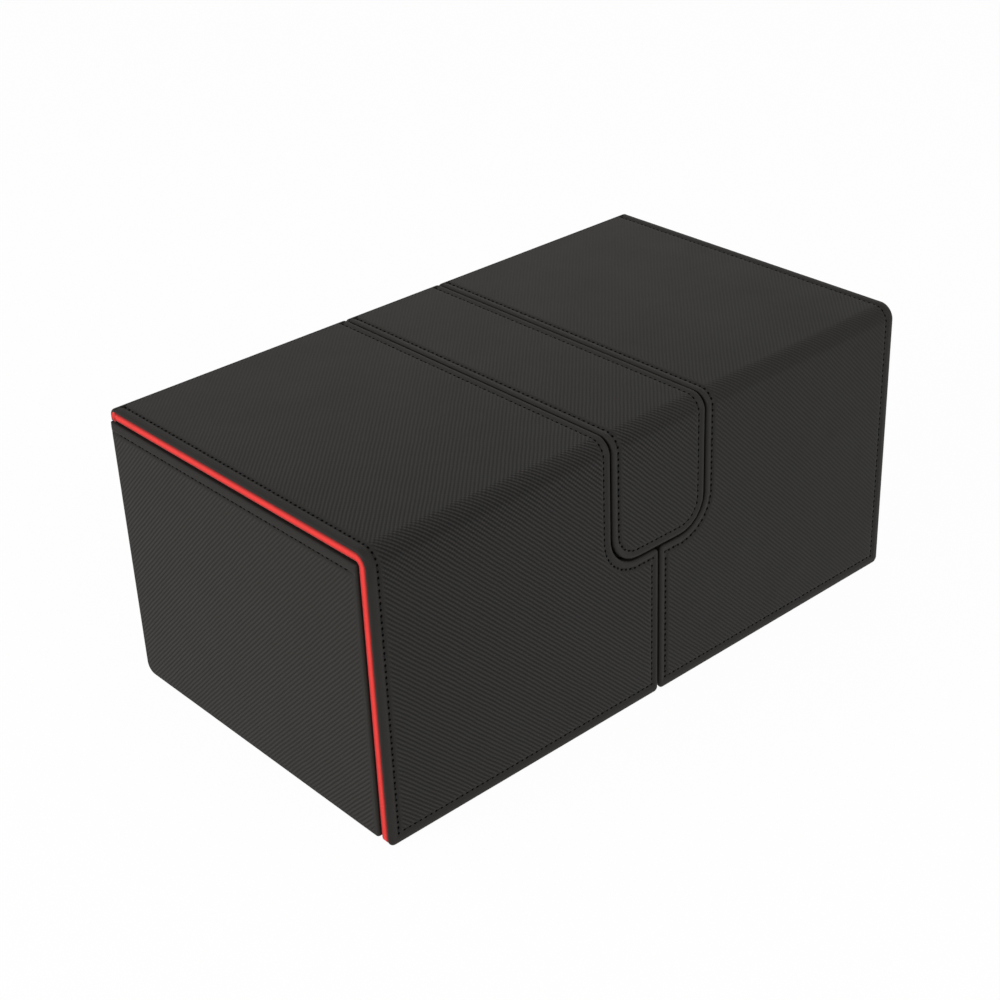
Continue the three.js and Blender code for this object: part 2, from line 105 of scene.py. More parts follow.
class CardBoxSizes(bpy.types.PropertyGroup):
    skin: length("Leather", "Thickness of the leather", 1.0)
    turned_edge: length("Turned edge", "Width of the leather turned round a board's edge", 1.1)
    soft_edge: length("Soft edge", "Radius of the leather where it turns round an edge", 0.8)
    seam_inset: length("Seam inset", "Distance from a groove's edge to its row of stitches", 2.7)
    end_inset: length("End inset", "How much further in the end and foot rows lie", 0.9)
    seam_lip: length("Seam lip", "How far a row's valley reaches towards the edge", 1.5)
    seam_field: length("Seam field", "How far that valley reaches towards the field", 1.0)
    seam_depth: length("Seam depth", "Depth of the valley that a row pulls in", 0.4)
    ribs_start: length("Ribs start", "Distance from an edge at which the ribs begin", 3.4)
    ribs_full: length("Ribs full", "Distance from an edge at which the ribs are fully up", 4.6)
    stitch_pitch: length("Stitch pitch", "Distance from one stitch to the next", 4.15)
    stitch_length: length("Stitch length", "Thread that shows in each stitch", 2.1)
    thread_width: length("Thread width", "Width of the thread", 0.7)
    needle_hole: length("Needle hole", "Width of the hole at each end of a stitch", 0.85)
    rib_period: length("Rib period", "Distance along an edge from one rib to the next", 1.655)
    rib_height: length("Rib height", "Height of the embossed ribs", 0.1)
    panel_seam: length("Panel seam", "Distance from the panel's top to its stitches", 3.5)
    panel_lip: length("Panel lip", "How far the panel's padded top swells", 0.45)
    panel_roll: length("Panel roll", "How far the top of that lip rolls back in", 1.5)
    edge_swell: length("Edge swell", "How far the leather swells past the boards", 0.1)
    panel_drop: length("Panel drop", "How far its leather ends under its board's top", 0.3)
    turned_leather: length("Turned leather", "Thickness of the leather in the grooves", 0.45)
    panel_edge: length("Panel edge", "Radius of the leather round the panel's edges", 0.8)
    hinge_reach: length("Hinge reach", "How far the hinge leather reaches on to its bodies", 0.12)
    lining_edge: length("Lining edge", "Radius of the lining's rolled inner edges", 0.6)
    lining_rim: length("Lining rim", "Radius of the lining's edges against the leather", 0.8)


class CardBoxColours(bpy.types.PropertyGroup):
    leather: colour("Embossed leather", 29, 27, 24)
    thread: colour("Sewing thread", 27, 26, 26)
    # The hole colour is painted shade: almost black for the shadow inside each needle hole.
    hole: colour("Inside of the needle holes", 6, 6, 6)
    lining: colour("Red lining", 234, 50, 44)
    board: colour("Stiff board", 44, 42, 40)
    paper: colour("Black paper", 30, 29, 29)
    steel: colour("Steel discs", 150, 152, 155)
    magnet: colour("Plated magnets", 176, 178, 182)
    floor: colour("Floor", 252, 252, 252)


def sizes():
    return bpy.context.scene.card_box_sizes


def colours():
    return bpy.context.scene.card_box_colours


# Shader maths

# The emboss on the leather round the case, with no painted light on it
CASE_EMBOSS = {"ribs": 0.85, "lean": 0.35, "painted_light": 0.0}


class Value:
    """A number or socket in a material, so that its sums are written as Python."""

    def __init__(self, maker, source):
        self.maker = maker
        self.source = source

    def math(self, operation, *others, clamp=False):
        inputs = dict(enumerate([self, *others]))
        return self.maker.value("ShaderNodeMath", 0, inputs, operation=operation, use_clamp=clamp)

    def __add__(self, other):
        return self.math("ADD", other)

    def __mul__(self, other):
        return self.math("MULTIPLY", other)

    def __sub__(self, other):
        return self.math("SUBTRACT", other)

    def __rsub__(self, other):
        return Value(self.maker, other) - self

    __radd__ = __add__
    __rmul__ = __mul__

    def sine(self):
        return self.math("SINE")

    def clamped(self):
        return self.math("ADD", 0, clamp=True)


class NodeMaker:
    """Makes and links the nodes of a material or a world, from an empty start."""

    def __init__(self, holder):
        holder.use_nodes = True
        self.tree = holder.node_tree
        self.tree.nodes.clear()

    def node(self, kind, inputs=None, **settings):
        """A node of a kind, with its settings made first and then its sockets set or linked."""
        node = self.tree.nodes.new(kind)
        for name, setting in settings.items():
            setattr(node, name, setting)
        for name, value in (inputs or {}).items():
            self.feed(node.inputs[name], value)
        return node

    def feed(self, socket, value):
        source = value.source if isinstance(value, Value) else value
        if isinstance(source, bpy.types.NodeSocket):
            self.tree.links.new(source, socket)
        else:
            socket.default_value = source

    def value(self, kind, output, inputs=None, **settings):
        return Value(self, self.node(kind, inputs, **settings).outputs[output])

    def mixed_shaders(self, share, first, second):
        inputs = {0: share, 1: first.outputs[0], 2: second.outputs[0]}
        return self.node("ShaderNodeMixShader", inputs).outputs[0]


class Finish(NodeMaker):
    """One procedural material under construction."""

    def __init__(self, name):
        self.material = bpy.data.materials.new(name)
        super().__init__(self.material)
        self.surface = self.node("ShaderNodeBsdfPrincipled")
        self.output = self.node("ShaderNodeOutputMaterial", {0: self.surface.outputs[0]})

    def attribute(self, name):
        return self.value("ShaderNodeAttribute", "Fac", attribute_name=name)

    def place(self):
        """Object coordinates in millimetres, as a vector socket."""
        return self.in_mm(self.node("ShaderNodeTexCoord").outputs["Object"])

    def pattern(self):
        """The piece's own pattern map in millimetres, as a vector socket."""
        return self.in_mm(self.node("ShaderNodeUVMap", uv_map="Pattern").outputs[0])

    def in_mm(self, vector):
        inputs = {0: vector, "Scale": 1 / MM}
        return self.node("ShaderNodeVectorMath", inputs, operation="SCALE").outputs[0]

    def axes(self, vector):
        split = self.node("ShaderNodeSeparateXYZ", {0: vector})
        return [Value(self, socket) for socket in split.outputs]

    def noise(self, vector, period, detail=2.0, rough=0.5):
        """Smooth noise from 0 to 1 whose lumps are about a period across."""
        inputs = {"Vector": vector, "Scale": 1 / period, "Detail": detail, "Roughness": rough}
        return self.value("ShaderNodeTexNoise", 0, inputs)

    def mix(self, factor, low, high):
        return self.value("ShaderNodeMix", 2, {0: factor, 6: low, 7: high}, data_type="RGBA")

    def finish(self, **inputs):
        for name, value in inputs.items():
            socket = name.replace("_", " ").title().replace("Ior", "IOR")
            self.feed(self.surface.inputs[socket], value)
        return self.material

    def shaded(self, base, shades, light, roughness, bump=None, lit=None, **rest):
        """The finished material, between two shades of its base colour. Bump is its relief in mm, and where
        lit is low it is painted almost black, as painted shade."""
        seen = self.mix(light, *(shade(base, factor) for factor in shades))
        if lit is not None:
            seen = self.mix(lit, shade(base, 0.12), seen)
        if bump is not None:
            relief = {"Height": bump, "Distance": MM, "Strength": 1}
            rest["normal"] = self.node("ShaderNodeBump", relief).outputs[0]
        return self.finish(base_color=seen, roughness=roughness.clamped(), **rest)


def shade(rgb, factor):
    return [*(channel * factor for channel in rgb), 1.0]


def embossed_leather(name, ways=None):
    """Leather with two crossing sets of fine ribs. A skin carries its own pattern map, its ribs' height, how
    far one set outdoes the other (lean) and its painted light, which paints highlights and shade onto it. On
    the case these are even, and ways turns a place into the two ways of the pattern."""
    maker = Finish(name)
    where = maker.place() if ways else maker.pattern()
    across, along, *_ = ways(*maker.axes(where)) if ways else maker.axes(where)
    ribs, lean, painted_light = (
        Value(maker, even) if ways else maker.attribute(layer)
        for layer, even in CASE_EMBOSS.items()
    )
    size = sizes()
    turn = 2 * math.pi / (size.rib_period / MM)
    wander = maker.noise(where, 9.0, 1.0) * 2.4
    first = (across * turn + along * turn + wander).sine()
    second = (across * turn - along * turn + wander).sine()
    share = lean * 0.5 + 0.5
    relief = (first * share + second * (1 - share)) * ribs
    grain = maker.noise(where, 0.55, 3.0, 0.6) - 0.5
    cloudy = maker.noise(where, 26.0, 3.0) - 0.5
    wavy = maker.noise(where, 17.0, 1.0) - 0.5
    return maker.shaded(
        colours().leather,
        (0.2, 1.8),
        # The relief's share of the colour is painted shade in the rib valleys and painted light on their
        # crests, and lean makes one set show as the light would pick it out.
        light=(0.52 + painted_light + relief * 0.38 + grain * 0.5 + cloudy * 0.25).clamped(),
        roughness=0.65 + lean * 0.03 - relief * 0.08 + cloudy * 0.12 + grain * 0.1,
        bump=relief * (size.rib_height / MM) + grain * 0.05 + wavy * 0.22,
        specular_ior_level=0.19,
    )


def microfibre(name, mapped=True):
    """Short-napped red cloth, brushed unevenly. On a mapped piece the layer lit paints shade on it: where
    lit is low the cloth is painted darker."""
    maker = Finish(name)
    where = maker.pattern() if mapped else maker.place()
    lit = maker.attribute("lit") if mapped else 1.0
    brushed = maker.noise(where, 7.0, 3.0) - 0.5
    nap = maker.noise(where, 0.35, 2.0, 0.7) - 0.5
    return maker.shaded(
        colours().lining,
        (0.82, 1.12),
        light=(0.5 + brushed * 0.7 + nap * 0.8).clamped(),
        roughness=0.84 + nap * 0.2,
        bump=nap * 0.06 + brushed * 0.08,
        lit=lit,
        specular_ior_level=0.3,
        sheen_weight=0.15,
        sheen_roughness=0.4,
    )


METAL_NOISES = ((0.5, 4.0, 0.7), 0.5, 0.25), ((5.0, 2.0), 0.6, 0.1)

# For each grainy finish: its colour and two shades of it, its fine and its coarse noise with how
# far each lightens and roughens it, its bump, its roughness and the rest
GRAINY = {
    "pressed_board": (
        "board",
        (0.6, 1.5),
        (((0.6, 4.0, 0.7), 0.9, 0.15), ((2.2, 2.0), 0.5, 0)),
        (0.05, 0.88, {"specular_ior_level": 0.25}),
    ),
    "laid_paper": (
        "paper",
        (0.6, 1.5),
        (((0.4, 3.0, 0.6), 0.6, 0.2), ((14.0, 2.0), 0.6, 0)),
        (0.03, 0.8, {"specular_ior_level": 0.3}),
    ),
    "disc_steel": ("steel", (0.8, 1.15), METAL_NOISES, (0.01, 0.38, {"metallic": 1.0})),
    "magnet_plating": ("magnet", (0.8, 1.15), METAL_NOISES, (0.01, 0.26, {"metallic": 1.0})),
}


def grainy_surface(name):
    """Board, paper or metal with fine grain, which its bump follows, and coarse clouds."""
    base, shades, noises, (bump, roughness, rest) = GRAINY[name]
    maker = Finish(name)
    where = maker.place()
    (grain, lightens, roughens), (clouds, clouds_lighten, clouds_roughen) = (
        (maker.noise(where, *noise) - 0.5, *shares) for noise, *shares in noises
    )
    light = (0.5 + grain * lightens + clouds * clouds_lighten).clamped()
    rough = grain * roughens + roughness
    if clouds_roughen:
        rough += clouds * clouds_roughen
    return maker.shaded(getattr(colours(), base), shades, light, rough, grain * bump, **rest)


def twisted_thread(name):
    """Waxed thread whose strands run slantwise round each stitch."""
    maker = Finish(name)
    where = maker.pattern()
    across, along, _ = maker.axes(where)
    strand_period = 0.5
    strands = ((across * 2.0 + along) * (2 * math.pi / strand_period)).sine()
    fuzz = maker.noise(where, 0.3, 2.0) - 0.5
    light = (0.5 + strands * 0.25 + fuzz * 0.5).clamped()
    look = {"roughness": 0.65 + fuzz * 0.3, "bump": strands * 0.03, "specular_ior_level": 0.15}
    return maker.shaded(colours().thread, (0.5, 1.7), light, **look)


def needle_hole(name):
    """A needle hole, painted almost black as painted shade for the dark inside it."""
    maker = Finish(name)
    dust = maker.noise(maker.pattern(), 0.3, 2.0)
    look = {"roughness": 0.9 + dust * 0.1, "specular_ior_level": 0.02}
    return maker.shaded(colours().hole, (0.4, 1.4), dust, **look)


# The sheet that lies on a lid, bends over the front edge and hangs down the front

# How far pieces stay off each other inside the sheet
LINING_CLEARANCE = 0.05 * MM
SKIN_CLEARANCE = 0.02 * MM

# Places of a seam valley's loops, from its outer side at 1 to its inner side at -1
VALLEY_SHARES = (1, 0.8, 0.6, 0.4, 0.15, -0.15, -0.4, -0.7, -1)

# Cross lines of the flat sheet in mm: past its rear end, before the bend and after it
REAR_CUTS = (0.3, 0.8)
LID_CUTS = (90, 60, 30, 1)
FRONT_CUTS = (4, 6.5, 9, 11.5, 14)

# How far one set of ribs outdoes the other: on the lid, past the bend and further down
LID_LEAN = 0.9
BEND_LEAN = -0.68
FOOT_LEAN = -0.9

# How plainly the ribs show: from the lid's rear to its front, from left to right on the front,
# what remains of the lid's at the right, and how much is added beside the bend
LID_RIBS = (0.2, 0.7)
FRONT_RIBS = (1.25, 0.37)
LID_RIBS_RIGHT = 0.55
BEND_RIBS = 0.4

# Painted light and shade on the leather, in the same directions, on its ribs and on its lips: how much
# lighter or darker it is painted
LID_RIB_PAINTED_LIGHTS = (0.27, -0.12)
FRONT_RIB_PAINTED_LIGHTS = (-0.03, -0.1)
LID_LIP_PAINTED_LIGHTS = (0.24, 0.12)
END_LIP_PAINTED_LIGHT = -0.05
FRONT_LIP_PAINTED_LIGHT = 0.1

# Where these looks change, in mm: across the box, past the bend's start and past its end
RIGHT_FADE = (-25, 60)
START_FADE = (-1, 3)
LEAN_FADE = (4, 14)
RIB_FADE = (2, 14)
PAINTED_LIGHT_FADE = (-1, 6)

# A half reaches further from the box's middle than the strap. Its end lip is this wide.
HALF_REACH = 50 * MM
END_LIP = 5 * MM

# How far a lining is lit, which paints light and shade on it: on its inner face, at its rim's brightest and
# how much less, as painted shade, at the rim's inner corner, and the shares of its depth at which it rises
# and falls
INNER_FACE_LIT = 0.8
RIM_LIT = 0.93
RIM_SHADE = 0.9
RIM_RISE = (-0.05, 0.45)
RIM_FALL = (0.57, 1)


class FoldedSheet:
    """Takes a place from the flat sheet to the box. Across is X, run is the way from the lid's
    rear end over the bend and down, and depth is the way in from the outer face."""

    def __init__(self, lid_cover, fold_cover):
        lid_low, lid_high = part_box(lid_cover)
        fold_low, fold_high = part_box(fold_cover)
        self.end = max(-lid_low[0], lid_high[0])
        self.rear_y = lid_high[1]
        self.top_z = lid_high[2]
        self.front_y = fold_low[1]
        self.radius = fold_high[2] - fold_low[2]
        self.fold_y = self.front_y + self.radius
        self.fold_z = self.top_z - self.radius
        self.bend_start = self.rear_y - self.fold_y
        self.bend_end = self.bend_start + self.radius * math.pi / 2

    def run_at_height(self, z):
        return self.bend_end + self.fold_z - z

    def place(self, across, run, depth):
        if run <= self.bend_start:
            return Vector((across, self.rear_y - run, self.top_z - depth))
        if run >= self.bend_end:
            return Vector((across, self.front_y + depth, self.fold_z - (run - self.bend_end)))
        turn = (run - self.bend_start) / self.radius
        reach = self.radius - depth
        return Vector(
            (across, self.fold_y - reach * math.sin(turn), self.fold_z + reach * math.cos(turn))
        )

    def blend_ends(self):
        return (0, self.fold_y, self.top_z), (0, self.front_y, self.fold_z)

    def crease_ends(self, depth):
        """The bend of a lining of that depth. Only its inner corner turns, and so it clears the
        front wall."""
        y, z = (self.fold_y + self.front_y) / 2, (self.top_z + self.fold_z) / 2
        half = (self.radius - depth) / 2
        return (0, y + half, z + half), (0, y - half, z - half)


def corner_arc(centre_x, centre_run, radius, start, stop, steps=CORNER_STEPS):
    """Points round a corner. The angles are in degrees from +X towards the way up the sheet."""
    radius = max(radius, SMALLEST_RADIUS)
    turns = [math.radians(start + (stop - start) * step / steps) for step in range(steps + 1)]
    return [
        (centre_x + radius * math.cos(turn), centre_run - radius * math.sin(turn)) for turn in turns
    ]


class Outlines:
    """Outlines of the strap and the two halves in the flat sheet, read off the frame. They start
    behind the rear edge, where the sheet is cut off later."""

    tongue_corner = 11 * MM
    groove = 1 * MM
    seam_corner = 1.5 * MM
    foot_corner = 2 * MM
    overhang = 12 * MM

    def __init__(self, sheet):
        self.sheet = sheet
        self.strap_low, self.strap_high = (corner[0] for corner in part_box("strap_cover"))
        self.tongue_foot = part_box("tongue_cover")[0][2]
        self.centre = (self.strap_low + self.strap_high) / 2

    def strap(self, inset):
        low, high = self.strap_low + inset, self.strap_high - inset
        radius = self.tongue_corner - inset
        run = self.sheet.run_at_height(self.tongue_foot + self.tongue_corner)
        rear = inset - self.overhang
        return [
            (low, rear),
            *corner_arc(low + radius, run, radius, 180, 270),
            *corner_arc(high - radius, run, radius, 270, 360),
            (high, rear),
        ]

    def half(self, side, wall, inset):
        """A half's outline from its rear corner beside the groove, under the tongue, down the
        seam and up the end. Wall is its inset at the grooves, inset that at the foot and end."""
        outward = -1 if side == "left" else 1
        lid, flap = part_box(f"{side}_lid_cover"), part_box(f"{side}_flap_cover")
        beside, end = sorted(abs(corner[0] - self.centre) for corner in lid)
        seam = min(abs(corner[0] - self.centre) for corner in flap) + wall
        beside, end, foot = beside + wall, end - inset, flap[0][2] + inset
        under = self.tongue_foot - self.groove - wall
        height = self.sheet.run_at_height
        notch_x = (self.strap_high - self.strap_low) / 2 - self.tongue_corner
        notch_run = height(self.tongue_foot + self.tongue_corner)
        notch_radius = self.tongue_corner + self.groove + wall
        seam_radius = max(self.seam_corner - wall, SMALLEST_RADIUS)
        foot_radius = max(self.foot_corner - inset, SMALLEST_RADIUS)
        points = [
            (beside, wall - self.overhang),
            *corner_arc(notch_x, notch_run, notch_radius, 0, -90, NOTCH_STEPS),
            *corner_arc(seam + seam_radius, height(under - seam_radius), seam_radius, 90, 180),
            *corner_arc(seam + seam_radius, height(foot + seam_radius), seam_radius, 180, 270),
            *corner_arc(end - foot_radius, height(foot + foot_radius), foot_radius, 270, 360),
            (end, inset - self.overhang),
        ]
        return [(self.centre + outward * x, run) for x, run in points]

    def beside_grooves(self, side, inset):
        """What borders the grooves: the strap's outline, and a half's to the seam's foot."""
        if side == "strap":
            return self.strap(inset)
        to_seam_foot = 1 + (NOTCH_STEPS + 1) + (CORNER_STEPS + 1) + 1
        return self.half(side, inset, inset)[:to_seam_foot]

    def sewn(self, side, inset):
        """The leather's outline. At the foot and the end it lies further in at the stitches."""
        size = sizes()
        if side == "strap":
            return self.strap(inset)
        further = smooth_step(inset, 0, size.seam_inset - size.seam_lip)
        return self.half(side, inset, inset + size.end_inset * further)

    def lined(self, side, inset):
        """The lining's outline, inside the leather that is turned in at the grooves."""
        wall = max(inset, sizes().turned_leather + LINING_CLEARANCE)
        return self.strap(wall) if side == "strap" else self.half(side, wall, inset)


def quarter_round(radius, steps=4):
    """Insets and depths round an edge, from its side to its face."""
    turns = [math.pi / 2 * step / steps for step in range(steps + 1)]
    return [(radius * (1 - math.cos(turn)), radius * (1 - math.sin(turn))) for turn in turns]


def leather_levels():
    """Insets and depths of a skin's loops, from its underside to the field behind the seam."""
    size = sizes()
    valley = [
        (
            size.seam_inset - share * (size.seam_lip if share > 0 else size.seam_field),
            size.seam_depth * (1 - share * share) ** 2,
        )
        for share in VALLEY_SHARES
    ]
    return [(0, size.skin), *quarter_round(size.soft_edge), *valley, (size.ribs_full, 0)]


def looped_solid(loops, name, shares):
    """A closed solid through matching loops of points, with their shares in a named layer."""
    bm = bmesh.new()
    layer = bm.verts.layers.float.new(name)
    verts = [bm.verts.new(point) for point in loops[0]]
    for vert in verts:
        vert[layer] = shares[0]
    bm.faces.new(verts)
    for loop, share in zip(loops[1:], shares[1:]):
        rim = [bm.edges.get(pair) for pair in zip(verts, verts[1:] + verts[:1])]
        fresh = set(bmesh.ops.extrude_edge_only(bm, edges=rim)["geom"])
        beside = ([edge.other_vert(vert) for edge in vert.link_edges] for vert in verts)
        verts = [next(vert for vert in others if vert in fresh) for others in beside]
        for vert, point in zip(verts, loop):
            vert.co = point
            vert[layer] = share
    bm.faces.new(verts)
    bmesh.ops.recalc_face_normals(bm, faces=bm.faces)
    return bm


def between(low, high, share):
    return low + (high - low) * share


def limited(share):
    return min(max(share, 0), 1)


def smooth_step(value, low, high):
    share = limited((value - low) / (high - low))
    return share * share * (3 - 2 * share)


def flat_sheet(outline, levels, name, share_at):
    """The sheet before it is bent: X across, -Y along the run and -Z into the depth."""
    bm = looped_solid(
        [[Vector((x, -run, -depth)) for x, run in outline(inset)] for inset, depth in levels],
        name,
        [share_at(inset, depth) for inset, depth in levels],
    )
    cut = cut_through(bm, 0, (0, 1, 0), clear_outer=True)
    rim = [part for part in cut["geom_cut"] if isinstance(part, bmesh.types.BMEdge)]
    bmesh.ops.edgeloop_fill(bm, edges=rim)
    return bm


def cut_through(bm, place, normal, **choices):
    """Cuts every face where it crosses a place along the normal."""
    everything = [*bm.verts, *bm.edges, *bm.faces]
    point = Vector(normal) * place
    return bmesh.ops.bisect_plane(
        bm, geom=everything, dist=1e-7, plane_co=point, plane_no=normal, **choices
    )


def turned_in(name, outlines, side, sheet, foot):
    """The leather that is turned in at the grooves, down to a depth, and hides the lining."""
    size = sizes()
    insets = (0, size.turned_leather)
    outer, inner = (from_rear(outlines.beside_grooves(side, inset)) for inset in insets)
    top = size.skin + SKIN_CLEARANCE
    loops = []
    for a, b in zip(outer, inner):
        section = ((a, top), (a, foot), (b, foot), (b, top))
        loops.append([Vector((x, -run, -depth)) for (x, run), depth in section])
    bm = looped_solid(loops, "ribs", [0] * len(loops))
    return folded(name, bm, sheet, material("skin_leather", embossed_leather))


def cut_bend(bm, sheet):
    """Gives the sheet cross lines: for its bend, for changes in the ribs' lean, and beside its
    rear end to keep the shading flat there."""
    bend = [
        between(sheet.bend_start, sheet.bend_end, step / BEND_STEPS)
        for step in range(BEND_STEPS + 1)
    ]
    on_lid = [sheet.bend_start - reach * MM for reach in LID_CUTS]
    on_front = [sheet.bend_end + drop * MM for drop in FRONT_CUTS]
    for run in (*(cut * MM for cut in REAR_CUTS), *on_lid, *bend, *on_front):
        cut_through(bm, -run, (0, 1, 0))


def fade(distance, span):
    """From 0 to 1 while a distance passes over a span that is given in mm."""
    return smooth_step(distance, *(end * MM for end in span))


def past_bend_start(sheet, run):
    return fade(run - sheet.bend_start, START_FADE)


def towards_bend(sheet, run):
    return limited(run / sheet.bend_start)


def rightward(across):
    """From 0 on the left half to 1 near the right end, where the leather is smoother."""
    return fade(across, RIGHT_FADE)


def lean_at(sheet, run):
    down = fade(run - sheet.bend_end, LEAN_FADE)
    return between(between(LID_LEAN, BEND_LEAN, past_bend_start(sheet, run)), FOOT_LEAN, down)


def rib_strength(sheet, across, run):
    """How plainly the ribs show: weakly on top and to the right, strongest past the bend."""
    right = rightward(across)
    on_lid = between(*LID_RIBS, towards_bend(sheet, run)) * between(1, LID_RIBS_RIGHT, right)
    near_bend = 1 - fade(run - sheet.bend_end, RIB_FADE)
    on_front = between(*FRONT_RIBS, right) * (1 + BEND_RIBS * near_bend * (1 - right))
    return between(on_lid, on_front, past_bend_start(sheet, run))


def painted_light_at(sheet, across, run, smooth):
    """Painted light: smooth lips are painted lighter than ribs, but not at the ends, where they are painted
    darker. Ribs get painted shade towards the bend.
    """
    share = towards_bend(sheet, run)
    if not smooth:
        on_lid = between(*LID_RIB_PAINTED_LIGHTS, share**1.3)
        on_front = between(*FRONT_RIB_PAINTED_LIGHTS, rightward(across))
    else:
        at_end = sheet.end > HALF_REACH and abs(across) > sheet.end - END_LIP
        on_lid = END_LIP_PAINTED_LIGHT if at_end else between(*LID_LIP_PAINTED_LIGHTS, share)
        on_front = FRONT_LIP_PAINTED_LIGHT
    return between(on_lid, on_front, fade(run - sheet.bend_end, PAINTED_LIGHT_FADE))


def write_pattern(bm, map_at):
    """Writes the pattern map, in metres, from the place of each vertex."""
    pattern = bm.loops.layers.uv.new("Pattern")
    for face in bm.faces:
        for loop in face.loops:
            loop[pattern].uv = map_at(loop.vert.co)


def new_layers(bm, *names):
    return [bm.verts.layers.float.new(name) for name in names]


def bend_onto_box(bm, sheet):
    """Writes the pattern map and the emboss, and then folds the flat sheet over the front edge."""
    write_pattern(bm, lambda place: (place.x, -place.y))
    ribs = bm.verts.layers.float.get("ribs")
    lean, painted_light = new_layers(bm, "lean", "painted_light")
    for vert in bm.verts:
        across, run, depth = vert.co.x, -vert.co.y, -vert.co.z
        if ribs:
            vert[ribs] *= rib_strength(sheet, across, run)
        vert[lean] = lean_at(sheet, run)
        vert[painted_light] = painted_light_at(sheet, across, run, ribs and vert[ribs] <= 0)
        vert.co = sheet.place(across, run, depth)


def new_piece(name, bm, materials, smooth=True):
    """An object at the origin from a finished bmesh."""
    mesh = bpy.data.meshes.new(name)
    bm.to_mesh(mesh)
    bm.free()
    for finish in materials:
        mesh.materials.append(finish)
    for polygon in mesh.polygons:
        polygon.use_smooth = smooth
    piece = bpy.data.objects.new(name, mesh)
    bpy.context.scene.collection.objects.link(piece)
    return piece


def weighted(piece):
    """Shades the long flat faces flat and the turned edges round."""
    modifier = piece.modifiers.new("Weighted normals", "WEIGHTED_NORMAL")
    modifier.keep_sharp = True
    return piece


def material(name, make):
    return bpy.data.materials.get(name) or make(name)


def folded(name, bm, sheet, finish):
    """A piece from a flat sheet that is bent onto the box."""
    cut_bend(bm, sheet)
    bend_onto_box(bm, sheet)
    bmesh.ops.recalc_face_normals(bm, faces=bm.faces)
    return weighted(new_piece(name, bm, [finish]))


def folded_leather(name, outlines, side, sheet):
    size = sizes()

    def swollen(inset):
        return outlines.sewn(side, inset - size.edge_swell)

    def ribs_at(inset, depth):
        return smooth_step(inset, size.ribs_start, size.ribs_full)

    bm = flat_sheet(swollen, leather_levels(), "ribs", ribs_at)
    return folded(name, bm, sheet, material("skin_leather", embossed_leather))


def folded_lining(name, outlines, side, levels, sheet):
    """Red lining, painted darker towards both sides of its rim as painted shade."""
    low, high = levels[1][1], levels[-1][1]

    def lit_at(inset, depth):
        if depth >= high:
            return INNER_FACE_LIT
        share = (depth - low) / (high - low)
        rise = smooth_step(share, *RIM_RISE)
        return RIM_LIT * rise * (1 - RIM_SHADE * smooth_step(share, *RIM_FALL))

    bm = flat_sheet(lambda inset: outlines.lined(side, inset), levels, "lit", lit_at)
    return folded(name, bm, sheet, material("lid_microfibre", microfibre))


# Stitching

# By a thread's width its thickness, by a needle hole's width its size, by a valley's depth the
# depth at which the holes lie
THREAD_THICKNESS = 0.7
HOLE_SHAPE = (1.2, 1, 0.5)
HOLE_DEPTH = 0.9


def walk(path, pitch):
    """Middles and directions of the stitches along an open path, evenly spaced from end to end."""
    spans = [(Vector(a), Vector(b)) for a, b in zip(path, path[1:])]
    total = sum((b - a).length for a, b in spans)
    count = max(int(total / pitch), 1)
    targets = [total * (index + 0.5) / count for index in range(count)]
    places, passed = [], 0.0
    for a, b in spans:
        reach = (b - a).length
        while targets and targets[0] <= passed + reach:
            share = (targets.pop(0) - passed) / reach if reach else 0
            places.append((a.lerp(b, share), (b - a).normalized()))
        passed += reach
    return places


def drop_shape(name, span, width, thickness, index):
    """A mesh along X that is fat in the middle and pulled in at both ends."""
    bm = bmesh.new()
    matrix = Matrix.Diagonal((span, width, thickness, 1)) @ Matrix.Rotation(math.pi / 2, 4, "Y")
    bmesh.ops.create_uvsphere(bm, u_segments=6, v_segments=5, radius=0.5, matrix=matrix)
    for face in bm.faces:
        face.material_index = index
    mesh = bpy.data.meshes.new(name)
    bm.to_mesh(mesh)
    bm.free()
    return mesh


def lay(bm, shape, middle, heading, sunk):
    """Adds a copy of a shape at a place on the flat sheet, turned along the row."""
    copy = shape.copy()
    aim = Matrix.Rotation(math.atan2(heading.y, heading.x), 4, "Z")
    copy.transform(Matrix.Translation((middle.x, middle.y, -sunk)) @ aim)
    bm.from_mesh(copy)
    bpy.data.meshes.remove(copy)


def sewn_row(path):
    """Flat stitches and needle holes along a path, given as places in X, run."""
    size = sizes()
    wide, long = size.thread_width, size.stitch_length
    stitch = drop_shape("stitch", long, wide, wide * THREAD_THICKNESS, 0)
    hole_size = (size.needle_hole * share for share in HOLE_SHAPE)
    hole = drop_shape("hole", *hole_size, 1)
    bm = bmesh.new()
    for middle, heading in walk([(x, -run) for x, run in path], size.stitch_pitch):
        lay(bm, stitch, middle, heading, size.seam_depth)
        for end in (middle - heading * (long / 2), middle + heading * (long / 2)):
            lay(bm, hole, end, heading, size.seam_depth * HOLE_DEPTH)
    for shape in (stitch, hole):
        bpy.data.meshes.remove(shape)
    return bm


def from_rear(outline):
    """An outline as a row of stitches that starts and ends at the rear edge."""
    return [(x, max(run, 0)) for x, run in outline]


def thread_materials():
    return [material("waxed_thread", twisted_thread), material("needle_hole", needle_hole)]


def folded_stitches(name, path, sheet):
    bm = sewn_row(path)
    bend_onto_box(bm, sheet)
    return new_piece(name, bm, thread_materials())


# Operators, one for each piece or group of like pieces

# How much painted light lightens the rear rolls, and how far their lining is lit, which below 1 is painted
# shade
ROLL_PAINTED_LIGHT = 0.1
ROLL_LIT = 0.85

# By a skin's soft edge the rolls', and by a lining's rolled edge the way round it at which the
# turned-in leather ends
ROLL_EDGE = 0.9
TURNED_END = 0.4

